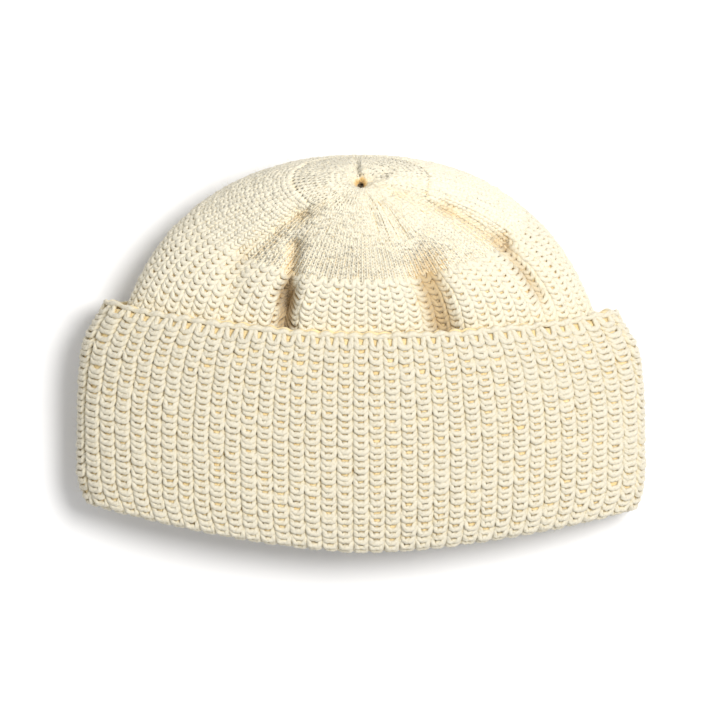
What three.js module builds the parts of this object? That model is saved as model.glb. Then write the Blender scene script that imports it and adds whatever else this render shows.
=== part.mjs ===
// A ribbed watch cap with a deep turned-up cuff, lying on its back.
// Millimetres, +Z up from the table, +Y from the rim towards the crown, +X to the wearer's left.
import * as THREE from "three";

// The knit's walls, the gap where two pieces meet, the crown's step below the ribs,
// and how far the cuff's free edge is rounded
const CUFF_WALL = 4;
const BODY_WALL = 4;
const CROWN_WALL = 2.9;
const CROWN_STEP = 0.4;
const EDGE_ROUND = 1.3;
const GAP = 0.3;

// Ribs round the cap, and how deep the furrow between two of them is
const RIBS = 74;
const RIB_DEPTH = 1;

// The cuff's upper corners are rounded: from CORNER_START on, its sides lose this share of their
// flare and sink this far by the free edge
const CORNER_START = 66;
const CORNER_DRAW = 0.35;
const CORNER_DROP = 8;

// Points round a ring: one on each rib and one in each furrow outside, one per rib inside,
// and every one and a half ribs' share on the smooth crown
const OUTSIDE = 2 * RIBS;
const INSIDE = RIBS;
const DOME = 1.5 * RIBS;

// Places along the cap, measured from the folded rim as in the first column of RINGS;
// RIM_TURNS are degrees round the fold, and in SEAT the cuff lies on the body
const RIM_BEND = 4.2;
const RIM_TURNS = [45, 90, 135];
const SEAT = [8, 16, 42, 68];
const CUFF_TOP = 92;
const BODY_ROWS = [CUFF_TOP, 98, 105, 112, 118];
const CROWN_START = 125;
const CROWN_ROWS = [131, 139, 148, 157, 166, 175, 183];
const POLE = 190;

// The outer face of the body and crown: one closed ring in each row.
// front and back are its highest and lowest points in the middle plane, each as y and z,
// half, sideY and sideZ place its widest points, lean drops the +X side and raises the other,
// square is the power of its superellipse, and flare is how far the cuff stands off at the sides.
// BOW is the power by which a ring curves from its front and back to its widest points.
const BOW = 1.6;
const RING_COLUMNS = [
  "along", "frontY", "frontZ", "backY", "backZ", "half", "sideY", "sideZ", "lean", "square", "flare",
];
const RINGS = [
  [-2, -86, 34.5, -85, 4.2, 112.4, -67.5, 19.5, -1.4, 2.7, 0],
  [0, -84, 35.6, -83, 3.9, 113.4, -65.5, 19.7, -1.4, 2.7, 0],
  [5, -79, 38, -78, 3.3, 115.6, -60.5, 20, -1.4, 2.7, 0],
  [14, -70.5, 41.5, -69, 3.2, 117.6, -51.5, 20.5, -1.4, 2.75, 0],
  [40, -45, 46.5, -43, 3.2, 117, -26.5, 22, -1.5, 2.8, 0.4],
  [70, -14.5, 51, -13, 3.2, 112, 0.5, 24, -1.8, 2.6, 4],
  [93, 9.5, 54, 11, 3, 100.5, 18.5, 26, -2, 2.4, 10.5],
  [106, 17, 57.5, 36, -1, 92.5, 35, 29, -1.5, 2.3, 10.5],
  [115, 23, 60.5, 58, 0, 83, 48, 32, -1, 2.2, 10.5],
  [125, 30, 63.5, 75, 9, 69, 59, 36, -0.5, 2.1, 10.5],
  [140, 40, 67, 81.5, 24, 56, 66, 44, 0, 2.05, 10.5],
  [155, 51, 69.5, 84.5, 39, 41.5, 70.5, 53, 0, 2, 10.5],
  [170, 61, 70, 83, 51, 26, 73.5, 60.5, 0, 2, 10.5],
  [182, 67.5, 68, 79, 59.5, 11, 74, 64.5, 0, 2, 10.5],
  [190, 72, 62.5, 73, 61.5, 0.6, 72.5, 62, 0, 2, 10.5],
];

// Furrows, hollows and ridges on the upper side, seen from above.
// Each runs from one point to the other: width is its half width, and depth is negative on a ridge.
const FOLD_COLUMNS = ["fromX", "fromY", "toX", "toY", "width", "depth"];
const FOLDS = [
  [-28, 46, -31.5, 22, 3.2, 6],
  [-31.5, 26, -34, -6, 4.2, 10],
  [-22, 34, -24, 22, 4, -1.6],
  [-7, 67, -26, 59, 4, 2.2],
  [-26, 59, -49, 43, 4.5, 3.2],
  [-54, 38, -54, 24, 7, 3],
  [8, 70, 36, 62, 4.5, 2.6],
  [36, 62, 60, 49, 4.5, 3.6],
  [60, 49, 77, 26, 4.5, 3],
  [28, 38, 37, 6, 8, 5.5],
  [3, 67, 7, 54, 2.2, 1.6],
  [8, 65, 19, 50, 2.2, 1.6],
  [1, 77, 1, 84, 2, -1.6],
];

// Steps for reading lengths and slopes off the surface, round it as a share and along it in
// millimetres, and how far up a normal points where the folds have their full depth
const RING_STEPS = 360;
const ROUND_STEP = 0.001;
const ALONG_STEP = 5;
const FACING_UP = 0.45;

/** Turns rows of numbers into records with the given column names. */
function table(columns, rows) {
  return rows.map((row) => Object.fromEntries(columns.map((name, i) => [name, row[i]])));
}

const rings = table(RING_COLUMNS, RINGS);
const folds = table(FOLD_COLUMNS, FOLDS);

/** Slope of a column at row i, flattened where the column turns, so that no value overshoots. */
function slopeAt(column, i) {
  const last = rings.length - 1;
  const secant = (k) =>
    (rings[k + 1][column] - rings[k][column]) / (rings[k + 1].along - rings[k].along);
  if (i === 0) return secant(0);
  if (i === last) return secant(last - 1);
  const before = secant(i - 1);
  const after = secant(i);
  return before * after <= 0 ? 0 : (2 * before * after) / (before + after);
}

/** The ring at any place along the cap, smoothly between the rows of the table. */
function ringAt(along) {
  let i = 0;
  while (i < rings.length - 2 && rings[i + 1].along < along) i += 1;
  const low = rings[i];
  const high = rings[i + 1];
  const span = high.along - low.along;
  const t = (along - low.along) / span;
  const made = {};
  for (const column of RING_COLUMNS.slice(1)) {
    made[column] =
      low[column] * (1 + 2 * t) * (1 - t) ** 2 +
      high[column] * t * t * (3 - 2 * t) +
      span * slopeAt(column, i) * t * (1 - t) ** 2 +
      span * slopeAt(column, i + 1) * t * t * (t - 1);
  }
  return made;
}

/** A number's size raised to a power, with its sign kept. */
function powered(value, power) {
  return Math.sign(value) * Math.abs(value) ** power;
}

/** A point of the ring at an angle measured from the front towards +X. */
function ringPoint(ring, angle) {
  const up = powered(Math.cos(angle), 2 / ring.square);
  const out = powered(Math.sin(angle), 2 / ring.square);
  const bow = Math.abs(out) ** BOW;
  const middleY = (ring.frontY + ring.backY) / 2;
  const middleZ = (ring.frontZ + ring.backZ) / 2;
  return new THREE.Vector3(
    ring.half * out,
    middleY + ((ring.frontY - ring.backY) / 2) * up + (ring.sideY - middleY) * bow + ring.lean * out,
    middleZ + ((ring.frontZ - ring.backZ) / 2) * up + (ring.sideZ - middleZ) * bow,
  );
}

const outlines = new Map();

/** Points round the ring at a place along the cap, with the length run up to each. */
function outlineAt(along) {
  if (!outlines.has(along)) {
    const ring = ringAt(along);
    const points = [];
    const lengths = [0];
    for (let i = 0; i <= RING_STEPS; i += 1) {
      points.push(ringPoint(ring, (2 * Math.PI * i) / RING_STEPS));
      if (i > 0) lengths.push(lengths[i - 1] + points[i].distanceTo(points[i - 1]));
    }
    outlines.set(along, { points, lengths });
  }
  return outlines.get(along);
}

/** The outer face at a share of the way round (0 at the front, 1/4 at +X) and a place along. */
function facePoint(round, along) {
  const { points, lengths } = outlineAt(along);
  const wanted = (round - Math.floor(round)) * lengths[RING_STEPS];
  let low = 0;
  let high = RING_STEPS;
  while (high - low > 1) {
    const middle = (low + high) >> 1;
    if (lengths[middle] <= wanted) low = middle;
    else high = middle;
  }
  const t = (wanted - lengths[low]) / (lengths[high] - lengths[low]);
  return points[low].clone().lerp(points[high], t);
}

/** The outward normal of the face, read over a few millimetres so that walls stay even. */
function faceNormal(round, along) {
  const across = facePoint(round + ROUND_STEP, along).sub(facePoint(round - ROUND_STEP, along));
  const above = Math.min(along + ALONG_STEP, POLE);
  const below = Math.max(along - ALONG_STEP, rings[0].along);
  const up = facePoint(round, above).sub(facePoint(round, below));
  return across.cross(up).normalize();
}

/** How far the folds lower the upper side at a point seen from above. */
function foldDepth(x, y) {
  let depth = 0;
  for (const fold of folds) {
    const dx = fold.toX - fold.fromX;
    const dy = fold.toY - fold.fromY;
    const share = ((x - fold.fromX) * dx + (y - fold.fromY) * dy) / (dx * dx + dy * dy);
    const t = THREE.MathUtils.clamp(share, 0, 1);
    const away = Math.hypot(x - fold.fromX - t * dx, y - fold.fromY - t * dy);
    depth += fold.depth * Math.exp(-((away / fold.width) ** 2));
  }
  return depth;
}

/** One ring of a piece: lift is the distance outside the body's face. */
function pieceRing({ along, lift, count, ribbed = false, onCuff = false }) {
  const points = [];
  for (let i = 0; i < count; i += 1) {
    const round = i / count;
    const rib = ribbed ? (RIB_DEPTH / 2) * (Math.cos(2 * Math.PI * RIBS * round) - 1) : 0;
    const make = onCuff ? cuffPoint : bodyPoint;
    const point = make(round, along, lift + rib);
    point.z = Math.max(point.z, 0);
    points.push(point);
  }
  return points;
}

/** A point of the body or crown, lowered into the folds of the upper side. */
function bodyPoint(round, along, lift) {
  const normal = faceNormal(round, along);
  const point = facePoint(round, along).addScaledVector(normal, lift);
  point.z -= foldDepth(point.x, point.y) * THREE.MathUtils.smoothstep(normal.z, 0, FACING_UP);
  return point;
}

/** A point of the cuff, which stands off at the sides and has rounded upper corners. */
function cuffPoint(round, along, lift) {
  const sideways = faceNormal(round, along).x ** 2;
  const corner = THREE.MathUtils.smoothstep(along, CORNER_START, CUFF_TOP);
  const lowered = along - CORNER_DROP * corner * sideways ** 4;
  const stand = ringAt(lowered).flare * (1 - CORNER_DRAW * corner) * sideways;
  return facePoint(round, lowered).addScaledVector(faceNormal(round, lowered), lift + stand);
}

/** A closed body through rings of points, the last one joined to the first. */
function loftOf(ringList) {
  const faces = [];
  let start = 0;
  for (let k = 0; k < ringList.length; k += 1) {
    const next = (k + 1) % ringList.length;
    const nextStart = next === 0 ? 0 : start + ringList[k].length;
    joinRings(faces, ringList[k], start, ringList[next], nextStart);
    start = nextStart;
  }
  const geometry = new THREE.BufferGeometry();
  geometry.setFromPoints(ringList.flat());
  geometry.setIndex(faces);
  return geometry;
}

/** Adds the triangles between two rings, split along their shorter diagonals; one point is a pole. */
function joinRings(faces, ringA, startA, ringB, startB) {
  const steps = Math.max(ringA.length, ringB.length);
  const at = (ring, i) => Math.floor((i * ring.length) / steps) % ring.length;
  for (let i = 0; i < steps; i += 1) {
    const [a, aNext, b, bNext] = [at(ringA, i), at(ringA, i + 1), at(ringB, i), at(ringB, i + 1)];
    const [p, pNext, q, qNext] = [startA + a, startA + aNext, startB + b, startB + bNext];
    if (a === aNext) {
      faces.push(p, qNext, q);
    } else if (b === bNext) {
      faces.push(p, pNext, q);
    } else if (ringA[a].distanceTo(ringB[bNext]) < ringA[aNext].distanceTo(ringB[b])) {
      faces.push(p, pNext, qNext, p, qNext, q);
    } else {
      faces.push(p, pNext, q, pNext, qNext, q);
    }
  }
}

/** The turned-up band: round the rim, up its outer face, over the free edge and down inside. */
function cuffGeometry() {
  const outer = GAP + CUFF_WALL;
  const inner = -BODY_WALL;
  const middle = (outer + inner) / 2;
  const radius = (outer - inner) / 2;
  const list = [];
  for (const turn of RIM_TURNS) {
    const angle = THREE.MathUtils.degToRad(turn);
    list.push({
      along: RIM_BEND * (1 - Math.sin(angle)),
      lift: middle - radius * Math.cos(angle),
      count: turn < 90 ? INSIDE : OUTSIDE,
      ribbed: turn > 90,
    });
  }
  for (const along of [RIM_BEND, ...SEAT]) {
    list.push({ along, lift: outer, count: OUTSIDE, ribbed: true });
  }
  list.push({ along: CUFF_TOP - EDGE_ROUND, lift: outer, count: OUTSIDE, ribbed: true });
  list.push({ along: CUFF_TOP, lift: outer - EDGE_ROUND, count: OUTSIDE, ribbed: true });
  for (const along of [CUFF_TOP, ...SEAT.toReversed(), RIM_BEND]) {
    list.push({ along, lift: GAP, count: INSIDE });
  }
  list.push({ along: RIM_BEND, lift: inner, count: INSIDE });
  return loftOf(list.map((ring) => pieceRing({ ...ring, onCuff: true })));
}

/** The ribbed tube that runs from the crown down inside the cuff. */
function bodyGeometry() {
  const hidden = [RIM_BEND + GAP, ...SEAT];
  const shown = [...BODY_ROWS, CROWN_START - GAP / 2];
  const list = [];
  for (const along of hidden) list.push({ along, lift: 0, count: INSIDE });
  for (const along of shown) list.push({ along, lift: 0, count: OUTSIDE, ribbed: true });
  for (const along of [...hidden, ...shown].toReversed()) {
    list.push({ along, lift: -BODY_WALL, count: INSIDE });
  }
  return loftOf(list.map(pieceRing));
}

/** The plain knit dome, drawn together at the gather. */
function crownGeometry() {
  const rows = [CROWN_START + GAP / 2, ...CROWN_ROWS];
  const list = [];
  for (const along of rows) list.push({ along, lift: -CROWN_STEP, count: DOME });
  list.push({ along: POLE, lift: -CROWN_STEP, count: 1 });
  list.push({ along: POLE, lift: -CROWN_WALL, count: 1 });
  for (const along of rows.toReversed()) list.push({ along, lift: -CROWN_WALL, count: INSIDE });
  return loftOf(list.map(pieceRing));
}

/** A named mesh of undyed wool. */
function woollen(name, geometry, color, roughness) {
  const material = new THREE.MeshStandardMaterial({ color, roughness, metalness: 0 });
  const mesh = new THREE.Mesh(geometry, material);
  mesh.name = name;
  return mesh;
}

const cap = new THREE.Group();
cap.add(
  woollen("crown", crownGeometry(), 0xf3ead0, 0.94),
  woollen("body", bodyGeometry(), 0xf2e8cb, 0.95),
  woollen("cuff", cuffGeometry(), 0xf2e7c9, 0.95),
);

export default cap;
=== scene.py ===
"""A ribbed wool watch cap with a deep turned-up cuff, lying on its back.

The cap is knitted here course by course: every course is a strand of yarn that runs in a wave
over the cap's own surface, and a thin ground behind it closes the gaps between the stitches.
Lengths are in millimetres until a mesh is made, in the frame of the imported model.
"""

import logging
import math
from dataclasses import dataclass, fields
from enum import Enum
from typing import Callable

import bmesh
import bpy
import numpy as np
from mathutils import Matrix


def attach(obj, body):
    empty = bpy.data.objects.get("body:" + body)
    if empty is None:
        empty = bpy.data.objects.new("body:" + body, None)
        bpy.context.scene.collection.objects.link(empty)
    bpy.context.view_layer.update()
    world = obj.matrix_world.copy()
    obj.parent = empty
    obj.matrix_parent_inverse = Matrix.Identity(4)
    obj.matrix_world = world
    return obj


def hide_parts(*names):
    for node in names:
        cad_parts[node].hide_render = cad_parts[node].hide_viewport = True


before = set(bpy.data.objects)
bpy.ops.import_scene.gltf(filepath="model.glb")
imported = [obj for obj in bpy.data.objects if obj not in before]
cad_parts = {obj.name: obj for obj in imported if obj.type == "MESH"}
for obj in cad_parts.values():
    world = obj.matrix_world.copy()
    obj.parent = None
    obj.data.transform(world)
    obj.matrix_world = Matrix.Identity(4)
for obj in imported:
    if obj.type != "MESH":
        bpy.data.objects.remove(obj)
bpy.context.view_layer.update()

LOG = logging.getLogger("watch_cap")
Array = np.ndarray
Colour = tuple[float, float, float, float]

MM = 0.001
TURN = 2 * math.pi
BODY = "root"

# Walls and relief of the knit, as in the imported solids
CUFF_WALL = 4.0
BODY_WALL = 4.0
CROWN_WALL = 2.9
GAP = 0.3
RIBS = 74
CUFF_RIB = 7.2
DEEPEST_FOLD = 7.0

# Places along the cap, measured from the folded rim as in the first column of RINGS
RIM_BEND = 4.2
CORNER_START = 66.0
CUFF_TOP = 92.0
CROWN_START = 125.0
POLE = 190.0


@dataclass(frozen=True)
class Ring:
    """One closed outline round the body and crown.

    front and back are its highest and lowest points in the middle plane, half, side_y and side_z
    place its widest points, lean drops the +X side, square is the power of its superellipse, and
    flare is how far the cuff stands off at the sides.
    """

    along: float
    front_y: float
    front_z: float
    back_y: float
    back_z: float
    half: float
    side_y: float
    side_z: float
    lean: float
    square: float
    flare: float


RINGS = (
    Ring(-2, -86, 34.5, -85, 4.2, 112.4, -67.5, 19.5, -1.4, 2.7, 0),
    Ring(0, -84, 35.6, -83, 3.9, 113.4, -65.5, 19.7, -1.4, 2.7, 0),
    Ring(5, -79, 38, -78, 3.3, 115.6, -60.5, 20, -1.4, 2.7, 0),
    Ring(14, -70.5, 41.5, -69, 3.2, 117.6, -51.5, 20.5, -1.4, 2.75, 0),
    Ring(40, -45, 46.5, -43, 3.2, 117, -26.5, 22, -1.5, 2.8, 0.4),
    Ring(70, -14.5, 51, -13, 3.2, 112, 0.5, 24, -1.8, 2.6, 4),
    Ring(93, 9.5, 54, 11, 3, 100.5, 18.5, 26, -2, 2.4, 10.5),
    Ring(106, 17, 57.5, 36, -1, 92.5, 35, 29, -1.5, 2.3, 10.5),
    Ring(115, 23, 60.5, 58, 0, 83, 48, 32, -1, 2.2, 10.5),
    Ring(125, 30, 63.5, 75, 9, 69, 59, 36, -0.5, 2.1, 10.5),
    Ring(140, 40, 67, 81.5, 24, 56, 66, 44, 0, 2.05, 10.5),
    Ring(155, 51, 69.5, 84.5, 39, 41.5, 70.5, 53, 0, 2, 10.5),
    Ring(170, 61, 70, 83, 51, 26, 73.5, 60.5, 0, 2, 10.5),
    Ring(182, 67.5, 68, 79, 59.5, 11, 74, 64.5, 0, 2, 10.5),
    Ring(190, 72, 62.5, 73, 61.5, 0.6, 72.5, 62, 0, 2, 10.5),
)


@dataclass(frozen=True)
class Fold:
    """A furrow, hollow or ridge of the upper side, between two points seen from above."""

    from_x: float
    from_y: float
    to_x: float
    to_y: float
    width: float
    depth: float


FOLDS = (
    Fold(-28, 46, -31.5, 22, 3.2, 6),
    Fold(-31.5, 26, -34, -6, 4.2, 10),
    Fold(-22, 34, -24, 22, 4, -1.6),
    Fold(-7, 67, -26, 59, 4, 2.2),
    Fold(-26, 59, -49, 43, 4.5, 3.2),
    Fold(-54, 38, -54, 24, 7, 3),
    Fold(8, 70, 36, 62, 4.5, 2.6),
    Fold(36, 62, 60, 49, 4.5, 3.6),
    Fold(60, 49, 77, 26, 4.5, 3),
    Fold(28, 38, 37, 6, 8, 5.5),
    Fold(3, 67, 7, 54, 2.2, 1.6),
    Fold(8, 65, 19, 50, 2.2, 1.6),
    Fold(1, 77, 1, 84, 2, -1.6),
)

# Finer creases that only the knitted surface has
CREASES = (
    Fold(26, 34, 33, 12, 7, 2.2),
    Fold(-14, 65.5, -26, 58.5, 2.4, 0.8),
    Fold(-30, 56.5, -46, 47, 2.6, 1.2),
    Fold(14, 69, 40, 60, 2.4, 1.4),
    Fold(44, 58, 60, 47, 3, 2.4),
    Fold(60, 47, 76, 24, 3.4, 2.6),
    Fold(-1.7, 77, -1.7, 82, 1.3, 2),
    Fold(5, 74, 12, 78, 1.8, 1.4),
)


def eased(knots: Array, values: Array, at: Array) -> Array:
    """Reads a smooth curve through the knots that never overshoots a value.

    Args:
        knots: places of the values, rising.
        values: one value for each knot.
        at: places to read.

    Returns:
        The curve's value at each place.
    """
    secants = np.diff(values) / np.diff(knots)
    before, after = secants[:-1], secants[1:]
    same_way = before * after > 0
    total = np.where(same_way, before + after, 1)
    inner = np.where(same_way, 2 * before * after / total, 0)
    slopes = np.concatenate([secants[:1], inner, secants[-1:]])
    i = np.clip(np.searchsorted(knots, at, side="right") - 1, 0, len(knots) - 2)
    span = knots[i + 1] - knots[i]
    t = (at - knots[i]) / span
    ends = values[i] * (1 + 2 * t) * (1 - t) ** 2 + values[i + 1] * t * t * (3 - 2 * t)
    return ends + span * (slopes[i] * t * (1 - t) ** 2 + slopes[i + 1] * t * t * (t - 1))


def powered(values: Array, power: Array) -> Array:
    """Each value's size raised to a power, with its sign kept."""
    return np.sign(values) * np.abs(values) ** power


def smoothstep(values: Array, low: float, high: float) -> Array:
    """0 below low, 1 above high, and smooth between them."""
    t = np.clip((values - low) / (high - low), 0, 1)
    return t * t * (3 - 2 * t)


def unit(vectors: Array) -> Array:
    """The vectors at length 1."""
    return vectors / np.maximum(np.linalg.norm(vectors, axis=-1, keepdims=True), 1e-9)


def fold_depth(x: Array, y: Array) -> Array:
    """How far the folds and creases lower the upper side.

    Args:
        x: places across, seen from above.
        y: places towards the crown, seen from above.

    Returns:
        The depth at each place.
    """
    depth = np.zeros_like(x)
    for fold in FOLDS + CREASES:
        dx, dy = fold.to_x - fold.from_x, fold.to_y - fold.from_y
        share = ((x - fold.from_x) * dx + (y - fold.from_y) * dy) / (dx * dx + dy * dy)
        t = np.clip(share, 0, 1)
        away = np.hypot(x - fold.from_x - t * dx, y - fold.from_y - t * dy)
        depth += fold.depth * np.exp(-((away / fold.width) ** 2))
    return depth


class CapForm:
    """The outer face of the body and crown, as grids read by place along and share round.

    A share is 0 at the middle of the front and 1/4 at +X.
    """

    ROWS = 385
    SHARES = 1440
    OUTLINE_STEPS = 1080
    BOW = 1.6
    NORMAL_REACH = 5.0
    EVENING = (2.2, 2.8)
    FACING_UP = 0.45

    def __init__(self) -> None:
        """Works out the grids of points, normals, folds and lengths."""
        knots = np.array([ring.along for ring in RINGS], float)
        self.alongs = np.linspace(knots[0], knots[-1], self.ROWS)
        self.step = self.alongs[1] - self.alongs[0]
        self.columns = {
            item.name: eased(knots, np.array([getattr(r, item.name) for r in RINGS], float), self.alongs)
            for item in fields(Ring)
        }
        self.face = self._faces()
        self.normal, self.up = self._directions(self.face, self.NORMAL_REACH)
        facing = smoothstep(self.normal[..., 2], 0, self.FACING_UP)
        self.sink = fold_depth(self.face[..., 0], self.face[..., 1]) * facing
        self.folded = self.face.copy()
        self.folded[..., 2] -= self.sink
        self.folded_normal, self.folded_up = self._directions(self.folded, self.step)
        self.lengths = self._lengths()

    def _faces(self) -> Array:
        """Points of every row, evenly spaced round it."""
        c = {name: values[:, None] for name, values in self.columns.items()}
        angle = np.linspace(0, TURN, self.OUTLINE_STEPS + 1)[None, :]
        up = powered(np.cos(angle), 2 / c["square"])
        out = powered(np.sin(angle), 2 / c["square"])
        bow = np.abs(out) ** self.BOW
        middle_y = (c["front_y"] + c["back_y"]) / 2
        middle_z = (c["front_z"] + c["back_z"]) / 2
        half_y, half_z = (c["front_y"] - c["back_y"]) / 2, (c["front_z"] - c["back_z"]) / 2
        outline = np.stack(
            [
                c["half"] * out,
                middle_y + half_y * up + (c["side_y"] - middle_y) * bow + c["lean"] * out,
                middle_z + half_z * up + (c["side_z"] - middle_z) * bow,
            ],
            axis=-1,
        )
        shares = np.arange(self.SHARES) / self.SHARES
        face = np.empty((self.ROWS, self.SHARES, 3))
        for row, points in enumerate(outline):
            steps = np.linalg.norm(np.diff(points, axis=0), axis=1)
            lengths = np.concatenate([[0], np.cumsum(steps)])
            for axis in range(3):
                face[row, :, axis] = np.interp(shares * lengths[-1], lengths, points[:, axis])
        return face

    def _directions(self, grid: Array, reach: float) -> tuple[Array, Array]:
        """Outward normals, and directions towards the crown, of a grid of points.

        Args:
            grid: the points, by row and share.
            reach: how far along to each side the slope is read.

        Returns:
            The normals and the directions along, at length 1.
        """
        across = np.roll(grid, -2, axis=1) - np.roll(grid, 2, axis=1)
        rows = np.arange(self.ROWS)
        shift = max(1, round(reach / self.step))
        above = grid[np.minimum(rows + shift, self.ROWS - 1)]
        below = grid[np.maximum(rows - shift, 0)]
        up = above - below
        return unit(np.cross(across, up)), unit(up)

    def _lengths(self) -> Array:
        """Length along the folded face from the crown's start to each row, negative below it."""
        steps = np.linalg.norm(np.diff(self.folded, axis=0), axis=2)
        run = np.concatenate([np.zeros((1, self.SHARES)), np.cumsum(steps, axis=0)])
        start = self.read(run, np.arange(self.SHARES) / self.SHARES, np.full(self.SHARES, CROWN_START))
        return run - start[None, :]

    def read(self, grid: Array, share: Array, along: Array) -> Array:
        """Reads a grid between its points.

        Args:
            grid: values by row and share.
            share: shares of the way round.
            along: places along the cap, the same shape as share.

        Returns:
            The values there.
        """
        row = np.clip((along - self.alongs[0]) / self.step, 0, self.ROWS - 1.001)
        column = (share % 1) * self.SHARES
        i, j = row.astype(int), column.astype(int) % self.SHARES
        ti, tj = row - i, column - np.floor(column)
        if grid.ndim == 3:
            ti, tj = ti[..., None], tj[..., None]
        after = (j + 1) % self.SHARES
        low = grid[i, j] * (1 - tj) + grid[i, after] * tj
        high = grid[i + 1, j] * (1 - tj) + grid[i + 1, after] * tj
        return low * (1 - ti) + high * ti

    def column_of(self, share: Array) -> Array:
        """The nearest column of the grids to each share."""
        return np.rint((share % 1) * self.SHARES).astype(int) % self.SHARES

    def along_at(self, share: Array, length: Array) -> Array:
        """Places along at given lengths from the crown's start, each up its own meridian.

        Args:
            share: shares of the way round.
            length: lengths, negative on the body.

        Returns:
            The places along.
        """
        column = self.column_of(share)
        found = np.empty_like(length)
        for j in np.unique(column):
            here = column == j
            found[here] = np.interp(length[here], self.lengths[:, j], self.alongs)
        return found

    def on_face(self, share: Array, along: Array, height: Array) -> tuple[Array, Array]:
        """Points at a height off the folded face.

        Args:
            share: shares of the way round.
            along: places along.
            height: heights along the face's own normal.

        Returns:
            The points and the outward directions.
        """
        normal = self.read(self.folded_normal, share, along)
        return self.read(self.folded, share, along) + normal * height[..., None], normal

    def wall(self, share: Array, along: Array, lift: Array) -> Array:
        """Points of a wall: near the face it keeps to the folds, deeper it evens them out.

        Args:
            share: shares of the way round.
            along: places along.
            lift: heights off the face, negative inside.

        Returns:
            The points.
        """
        normal = self.read(self.normal, share, along)
        even = self.read(self.face, share, along) + normal * lift[..., None]
        even[..., 2] -= self.read(self.sink, share, along)
        close, _ = self.on_face(share, along, lift)
        deep = smoothstep(-lift, *self.EVENING)[..., None]
        return close * (1 - deep) + even * deep

    def hollow(self, share: Array, along: Array) -> Array:
        """How deep in a fold each place lies, from 0 to 1."""
        return np.clip(self.read(self.sink, share, along) / DEEPEST_FOLD, 0, 1)


def settled(points: Array, softness: float = 1.3) -> Array:
    """Presses what lies lowest softly against the table, so that it keeps some relief."""
    pressed = points.copy()
    z = points[..., 2]
    pressed[..., 2] = 0.5 * (z + np.sqrt(z * z + softness * softness))
    return pressed


@dataclass(frozen=True)
class Stitch:
    """How a strand runs through one stitch, from furrow to furrow.

    rise is how far the arms climb, and they do so between the distances near and far from the
    furrow, in stitches, so that close ones leave a flat rung between two steep rails. crowd draws
    the points towards the furrow and slant tips the rung. arm, middle and furrow give the strand's
    height above the face, and the radii its thickness, at those three places. bridge lifts every
    second course at the furrow.
    """

    rise: float
    near: float
    far: float
    crowd: float
    slant: float
    arm: float
    middle: float
    furrow: float
    bridge: float
    arm_radius: float
    middle_radius: float
    furrow_radius: float
    points: int
    sides: int

    def crowded(self, w: Array) -> Array:
        """Places across, in stitches, of points that are evenly numbered by w."""
        return w - self.crowd * np.sin(TURN * w) / TURN

    def climb(self, u: Array) -> Array:
        """Height of the strand in the face, from 0 at the middle to rise at the furrow."""
        away = 0.5 - np.abs(u % 1 - 0.5)
        return self.rise * (1 - smoothstep(away, self.near, self.far)) + self.slant * np.sin(TURN * u)

    @staticmethod
    def between(w: Array, arm: float, middle: float, furrow: float) -> Array:
        """A smooth curve through a stitch.

        Args:
            w: places, in stitches.
            arm: value at the quarters.
            middle: value at the half.
            furrow: value at whole numbers.

        Returns:
            The curve's values.
        """
        ends = (middle + furrow) / 2
        mean = (ends + arm) / 2
        return mean + (furrow - middle) / 2 * np.cos(TURN * w) + (ends - arm) / 2 * np.cos(2 * TURN * w)

    def relief(self, w: Array) -> Array:
        """Height of the strand above the face."""
        return self.between(w, self.arm, self.middle, self.furrow)

    def radius(self, w: Array) -> Array:
        """Thickness of the strand."""
        return self.between(w, self.arm_radius, self.middle_radius, self.furrow_radius)


@dataclass(frozen=True)
class Unevenness:
    """Hand-made irregularity of a zone: spreads of the strand's place, height and thickness."""

    across: float
    along: float
    height: float
    thickness: float
    sway: float

    @staticmethod
    def wander(rng: np.random.Generator, shape: tuple[int, int, int], size: float) -> Array:
        """Smooth random deviations with two turning places to a stitch.

        Args:
            rng: the zone's own random numbers.
            shape: courses, stitches in a course and points in a stitch.
            size: spread of the deviations.

        Returns:
            One deviation for each point of each course.
        """
        courses, cells, points = shape
        knots = rng.normal(0, size, (courses, 2 * cells))
        x = np.arange(cells * points) * 2 / points
        i = x.astype(int)
        t = smoothstep(x - i, 0, 1)
        return knots[:, i] * (1 - t) + knots[:, (i + 1) % (2 * cells)] * t

    def swaying(self, rng: np.random.Generator, courses: int, samples: int) -> Array:
        """Long slow waves that run through neighbouring courses together.

        Args:
            rng: the zone's own random numbers.
            courses: how many courses.
            samples: points in a course.

        Returns:
            One deviation for each point of each course.
        """
        share = np.arange(samples)[None, :] / samples
        course = np.arange(courses)[:, None]
        total = np.zeros((courses, samples))
        for waves in (3, 7, 13, 22):
            phase, drift = rng.uniform(0, TURN), rng.uniform(-0.25, 0.25)
            total += np.sin(TURN * waves * share + phase + drift * course)
        return self.sway * total / 2


@dataclass
class Swatch:
    """Courses laid out flat, by course and point, before the cap shapes them.

    across counts stitches, climb is the way up from each course's own line, and height and radius
    are the strand's height above the face and its thickness.
    """

    across: Array
    climb: Array
    height: Array
    radius: Array


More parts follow.
